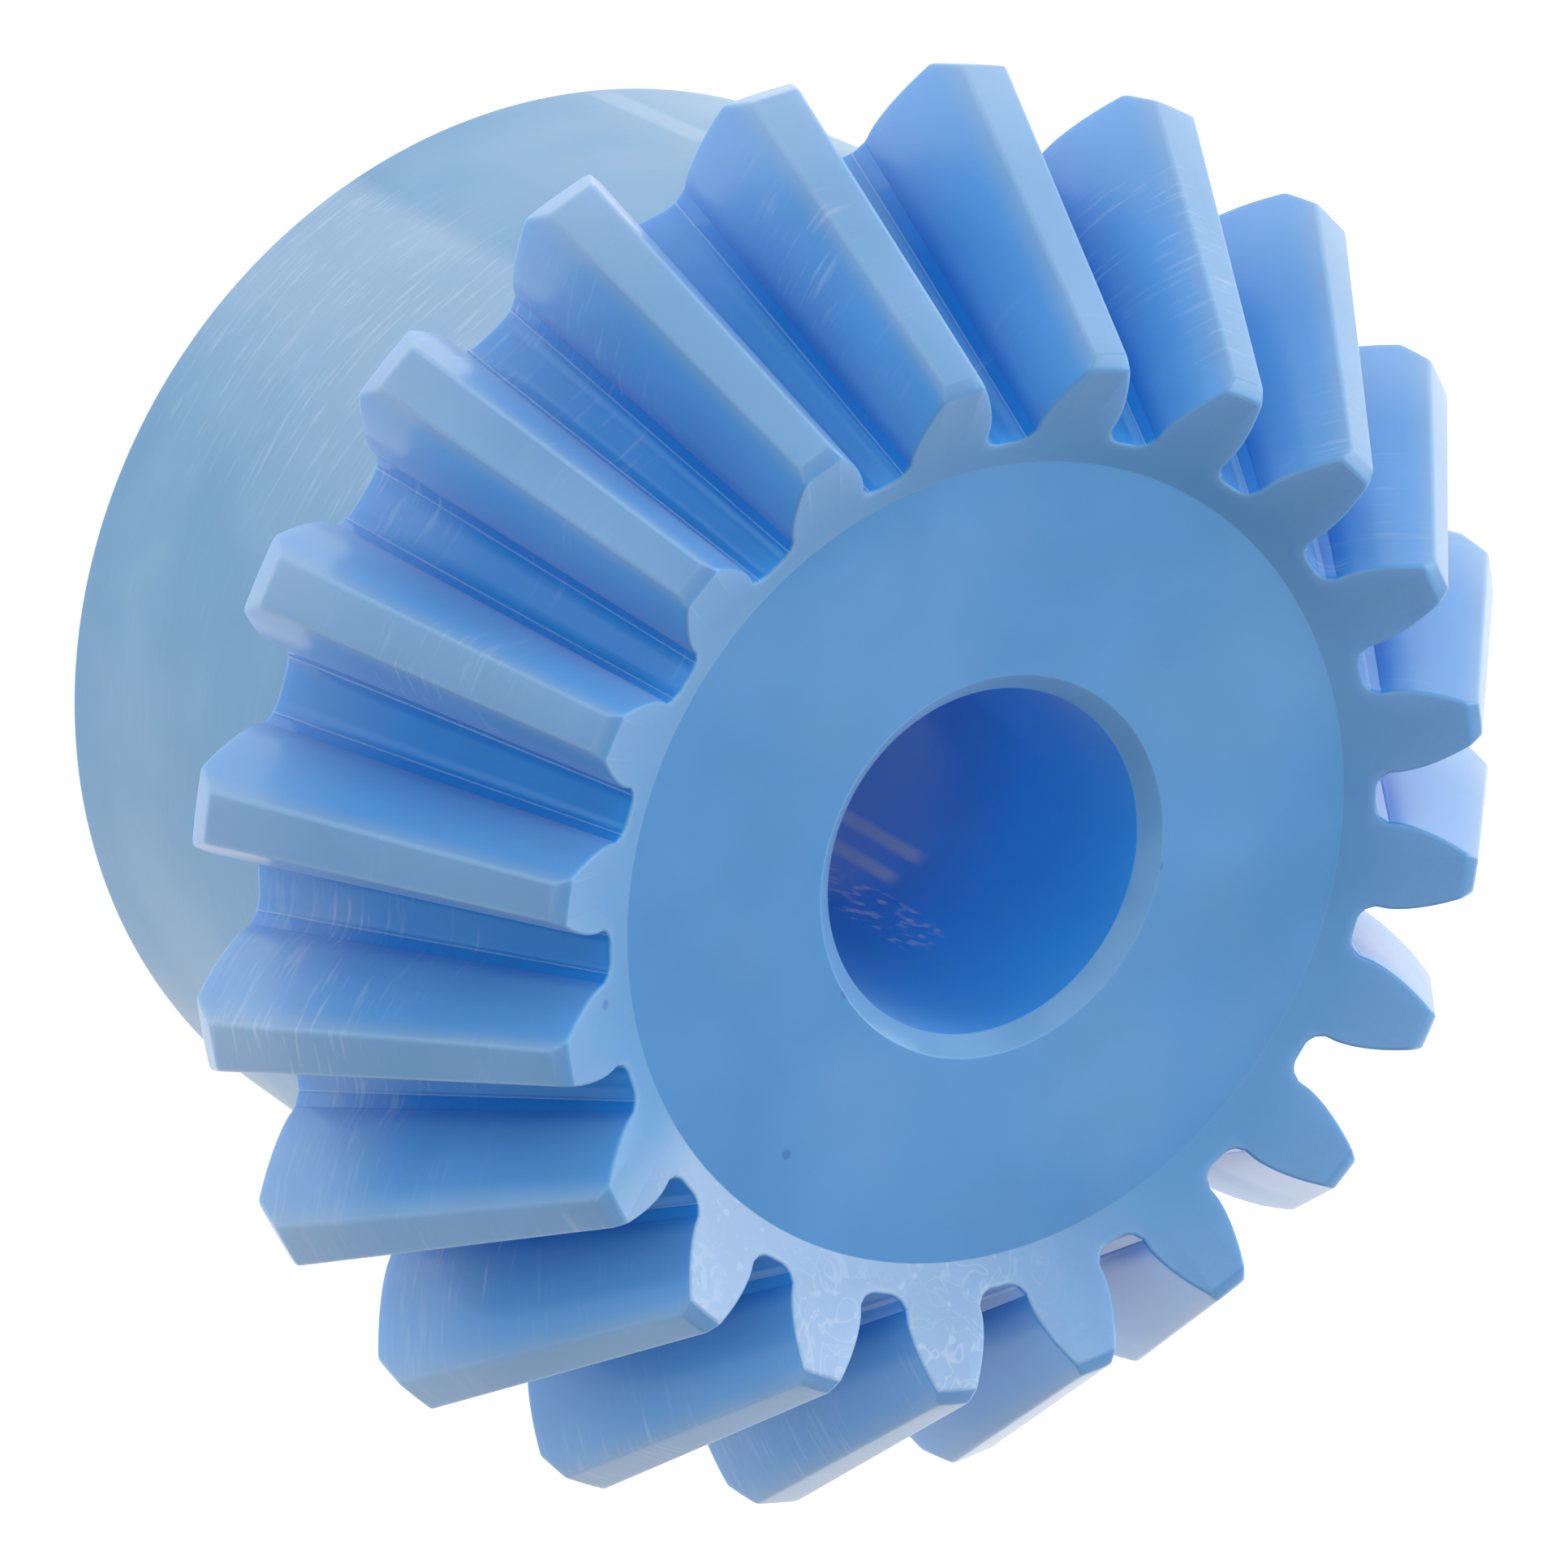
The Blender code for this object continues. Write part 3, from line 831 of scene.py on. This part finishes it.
def face_pits(net):
    """A few small pits on the turned faces."""
    inputs = (("Vector", net.place), ("Scale", PIT_SCALE))
    cells = net.add("ShaderNodeTexVoronoi", inputs, voronoi_dimensions='2D')
    choice = net.add("ShaderNodeSeparateColor", ((0, cells.outputs["Color"]),)).outputs[0]
    pits = net.times(net.fade(cells.outputs["Distance"], *PIT_DISTANCES), net.fade(choice, *PIT_CHOICE))
    return net.times(net.times(pits, net.plain), net.fade(net.plus(net.gloss, net.worn), 0.0, 0.5, 1.0, 0.0))


def bore_painted_reflections(net):
    """Painted reflections in the bore: two pale stripes along it and small pale streaks beside them."""
    bore_reflection = 0.0
    for centre, low, high in BORE_REFLECTION_STRIPES:
        mark = net.times(net.band(net.azimuth, centre - REFLECTION_STRIPE_HALF / 2, centre + REFLECTION_STRIPE_HALF / 2, REFLECTION_STRIPE_HALF),
                         net.band(net.z, low, high, REFLECTION_STRIPE_END_FADE))
        bore_reflection = net.plus(bore_reflection, mark)
    along = net.plus(net.times(net.azimuth, REFLECTION_STREAK_TURN), net.times(net.z, REFLECTION_STREAK_RUN[0]))
    across = net.plus(net.times(net.azimuth, REFLECTION_STREAK_TURN), net.times(net.z, REFLECTION_STREAK_RUN[1]))
    chips = net.noise(net.vector(along, across, 0.0), 1.0, 1.0)
    first, last, low, high = BORE_REFLECTION_STREAKS
    reflection_streaks = net.times(net.fade(chips, *REFLECTION_STREAK_NOISE), net.band(net.z, low, high, REFLECTION_STREAK_HEIGHT_FADE))
    reflection_streaks = net.times(reflection_streaks, net.band(net.azimuth, first, last, REFLECTION_STREAK_AZIMUTH_FADE))
    return net.times(net.plus(bore_reflection, reflection_streaks), net.fade(net.gloss, 0.9, 1.0))


def gear_material():
    """Blue cast nylon: turned hub and faces, planed teeth, whitened edges and scuffs, with painted shade,
    sheen and reflections.
    """
    net = Nylon("blue_nylon")
    strokes = tooth_strokes(net)
    streaks_and_reflection = hub_streaks_and_reflection(net)
    band = hub_painted_reflection(net)
    sheen_and_scuffs = heel_sheen_and_scuffs(net)
    scribbles = toe_scribbles(net)
    pits = face_pits(net)
    bore_reflection = bore_painted_reflections(net)

    # Colour
    shade_share = net.fade(net.cloud, *CLOUD_NOISE, 0.96, 1.04)
    colour = net.mix(1.0, net.tint, net.vector(shade_share, shade_share, shade_share), 'MULTIPLY')
    cloudiness = net.times(net.fade(net.patches, 0.42, 0.70), net.plus(net.times(net.hub, 0.07), 0.05))
    colour = net.mix(cloudiness, colour, WHITENED + (1.0,))
    # The fillet's channel is painted darker: painted shade
    colour = net.mix(net.times(net.channel, CHANNEL_SHADE), colour, CHANNEL_SHADE_TINT + (1.0,))
    # Whitened tool strokes, and hub streaks that are partly painted reflection
    whitening = net.plus(net.times(strokes, STROKE_WHITE), net.times(streaks_and_reflection, HUB_STREAK_AND_REFLECTION_WHITE))
    # The hub's pale band and line: painted reflection
    whitening = net.plus(whitening, net.times(band, HUB_REFLECTION_WHITE))
    whitening = net.plus(whitening, net.times(scribbles, SCRIBBLE_WHITE))
    # Heels whitened: painted sheen, with real scuffs
    whitening = net.plus(whitening, net.times(sheen_and_scuffs, SHEEN_AND_SCUFF_WHITE))
    # Pale edges: worn at the tips, ends and corners, a painted highlight on the fillet's ridge
    rough_edge = net.times(net.edge, net.fade(net.grain, 0.2, 0.6, 0.7, 1.0))
    whitening = net.plus(whitening, net.times(rough_edge, EDGE_WHITE))
    colour = net.mix(net.maths('MINIMUM', whitening, 1.0), colour, WHITENED + (1.0,))
    # Pale stripes and streaks in the bore: painted reflection
    colour = net.mix(net.maths('MINIMUM', net.times(bore_reflection, REFLECTION_STRIPE_WHITE), 1.0), colour, REFLECTION_STRIPE_TINT + (1.0,))
    colour = net.mix(net.times(pits, PIT_DARK), colour, PIT_TINT + (1.0,))
    net.feed(net.shader.inputs["Base Color"], colour)

    # Roughness; the teeth and the bore are cut smoother than the turned faces
    roughness = net.fade(net.cloud, *CLOUD_NOISE, *FACE_ROUGHNESS)
    roughness = net.plus(roughness, net.plus(net.times(strokes, 0.02), net.times(streaks_and_reflection, 0.12)))
    roughness = net.plus(roughness, net.times(net.plus(scribbles, pits), 0.2))
    roughness = net.times(roughness, net.fade(net.gloss, 0.0, 1.0, 1.0, 0.6))
    roughness = net.times(roughness, net.fade(net.channel, 0.0, 1.0, 1.0, 0.5))
    roughness = net.plus(roughness, net.times(bore_reflection, 0.3))
    net.feed(net.shader.inputs["Roughness"], roughness)

    # Relief
    depth = net.plus(net.times(net.hub, HUB_RELIEF), net.times(net.plain, PLAIN_RELIEF))
    relief = net.plus(net.times(net.grain, GRAIN_RELIEF), net.times(net.tool, depth))
    relief = net.plus(relief, net.times(strokes, STROKE_RELIEF))
    net.bump(relief)

    # A faint velvet from handling, and a little light let into the nylon
    net.shader.inputs["Specular Tint"].default_value = (0.65, 0.88, 1.0, 1.0)
    net.shader.inputs["Sheen Weight"].default_value = 0.18
    net.shader.inputs["Sheen Roughness"].default_value = 0.5
    net.shader.inputs["Subsurface Weight"].default_value = 0.25
    net.shader.inputs["Subsurface Radius"].default_value = (0.2, 0.5, 1.0)
    net.shader.inputs["Subsurface Scale"].default_value = 0.002
    return net.material


def screw_material(number):
    """Plain stainless steel, rubbed brighter on the thread crests."""
    net = Nodes(f"screw_steel_{number}")
    place = net.add("ShaderNodeTexCoord").outputs["Object"]
    split = net.add("ShaderNodeSeparateXYZ", ((0, place),))
    x, y, z = split.outputs[0], split.outputs[1], split.outputs[2]
    radius = net.maths('SQRT', net.plus(net.times(x, x), net.times(y, y)))
    blotches = net.noise(place, 900.0, 4.0)
    fine = net.noise(net.stretched(x, y, z, *SCREW_MARKS), 1.0, 3.0)
    crest = net.fade(radius, SCREW_CREST * 0.94, SCREW_CREST * 0.995)
    rubbed = net.times(crest, net.fade(blotches, 0.35, 0.6))
    colour = net.mix(net.fade(blotches, 0.3, 0.7), DULL_STEEL + (1.0,), STEEL + (1.0,))
    colour = net.mix(rubbed, colour, BRIGHT_STEEL + (1.0,))
    net.feed(net.shader.inputs["Base Color"], colour)
    net.feed(net.shader.inputs["Roughness"], net.fade(fine, 0.3, 0.7, 0.28, 0.48))
    net.bump(net.times(fine, SCREW_RELIEF))
    net.shader.inputs["Metallic"].default_value = 1.0
    return net.material


# Stage, camera and lights
CAMERA_AZIMUTH = math.radians(45.79)
CAMERA_ELEVATION = math.radians(54.72)
CAMERA_ROLL = math.radians(119.90)
CAMERA_TARGET = Vector((-0.00007, 0.00192, 0.018))
CAMERA_DISTANCE = 0.3347
CAMERA_LENS = 177.28
FLOOR_GAP = 0.0003
FLOOR_HALF = 4.0
FLOOR_TINT = (0.3, 0.3, 0.3)
FLOOR_GLOW = 0.9
FLOOR_GLOW_INSIDE = 0.5    # under the hub
FLOOR_FADE = 0.001
HORIZON = (0.05, 0.6)      # height, as a share of straight up, and brightness
SKY = (0.3, 0.03)
LIGHT_TARGET = Vector((0.0, 0.0, 0.02))
LIGHT_DISTANCE = 0.6
LIGHT_DIAMETER = 0.35
LOW = math.radians(12)
HIGH = math.radians(45)
# Round softboxes about the gear, each as (azimuth in degrees, elevation, watts)
SOFTBOXES = {
    "key_high": (180, HIGH, 1.3),
    "key_low": (180, LOW, 0.85),
    "key_side": (135, LOW, 0.6),
    "back_high": (225, HIGH, 0.45),
    "back_low": (225, LOW, 0.35),
    "left_high": (270, HIGH, 0.45),
    "left_low": (270, LOW, 0.3),
    "camera_high": (315, HIGH, 0.4),
    "camera_low": (315, LOW, 0.35),
    "fill": (0, HIGH, 0.35),
    "fill_side": (45, HIGH, 0.25),
    "overhead": (0, math.radians(80), 0.3),
}


def add_camera():
    back = Vector((math.sin(CAMERA_AZIMUTH) * math.cos(CAMERA_ELEVATION),
                   -math.cos(CAMERA_AZIMUTH) * math.cos(CAMERA_ELEVATION),
                   math.sin(CAMERA_ELEVATION)))
    data = bpy.data.cameras.new("camera")
    data.lens = CAMERA_LENS
    data.sensor_width = 36.0
    data.clip_start = 0.01
    data.clip_end = 20.0
    camera = bpy.data.objects.new("camera", data)
    bpy.context.scene.collection.objects.link(camera)
    camera.location = CAMERA_TARGET + back * CAMERA_DISTANCE
    camera.rotation_mode = 'QUATERNION'
    camera.rotation_quaternion = (-back).to_track_quat("-Z", "Y") @ Quaternion((0, 0, 1), CAMERA_ROLL)
    bpy.context.scene.camera = camera


def add_floor():
    """A pale floor that glows like a light table, less so under the gear."""
    mesh = bmesh.new()
    bmesh.ops.create_grid(mesh, x_segments=1, y_segments=1, size=FLOOR_HALF)
    data = bpy.data.meshes.new("floor")
    mesh.to_mesh(data)
    mesh.free()
    floor = bpy.data.objects.new("floor", data)
    floor.location.z = -FLOOR_GAP
    bpy.context.scene.collection.objects.link(floor)
    net = Nodes("floor")
    place = net.add("ShaderNodeTexCoord").outputs["Object"]
    reach = net.add("ShaderNodeVectorMath", ((0, place),), operation='LENGTH').outputs["Value"]
    glow = net.fade(reach, HUB_DIAMETER / 2 - FLOOR_FADE, HUB_DIAMETER / 2, FLOOR_GLOW_INSIDE, FLOOR_GLOW)
    net.shader.inputs["Base Color"].default_value = FLOOR_TINT + (1.0,)
    net.shader.inputs["Roughness"].default_value = 0.9
    net.shader.inputs["Emission Color"].default_value = (1.0, 1.0, 1.0, 1.0)
    net.feed(net.shader.inputs["Emission Strength"], glow)
    data.materials.append(net.material)


def add_world():
    """A pale horizon under a dimmer sky, so that side views keep a pale backdrop."""
    world = bpy.data.worlds.new("studio")
    world.use_nodes = True
    nodes = world.node_tree.nodes
    links = world.node_tree.links
    place = nodes.new("ShaderNodeTexCoord")
    split = nodes.new("ShaderNodeSeparateXYZ")
    ramp = nodes.new("ShaderNodeValToRGB")
    for element, (position, brightness) in zip(ramp.color_ramp.elements, (HORIZON, SKY)):
        element.position = position
        element.color = (brightness, brightness, brightness, 1.0)
    links.new(place.outputs["Generated"], split.inputs["Vector"])
    links.new(split.outputs["Z"], ramp.inputs["Fac"])
    links.new(ramp.outputs["Color"], nodes["Background"].inputs["Color"])
    nodes["Background"].inputs["Strength"].default_value = 1.0
    bpy.context.scene.world = world


def add_softboxes():
    for name, (azimuth, up, watts) in SOFTBOXES.items():
        around = math.radians(azimuth)
        towards = Vector((math.cos(around) * math.cos(up), math.sin(around) * math.cos(up), math.sin(up)))
        data = bpy.data.lights.new(name, 'AREA')
        data.shape = 'DISK'
        data.size = LIGHT_DIAMETER
        data.energy = watts
        light = bpy.data.objects.new(name, data)
        light.location = LIGHT_TARGET + towards * LIGHT_DISTANCE
        light.rotation_mode = 'QUATERNION'
        light.rotation_quaternion = towards.to_track_quat("Z", "Y")
        bpy.context.scene.collection.objects.link(light)


add_camera()
add_floor()
add_world()
add_softboxes()
bpy.context.scene.view_settings.view_transform = 'Standard'
gear = make_gear()
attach(gear, "gear")
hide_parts("gear_body")
for number, azimuth in enumerate(SCREW_AZIMUTHS, start=1):
    screw = make_set_screw(number, azimuth)
    shade(screw)
    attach(screw, f"screw_{number}")
    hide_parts(f"set_screw_{number}")
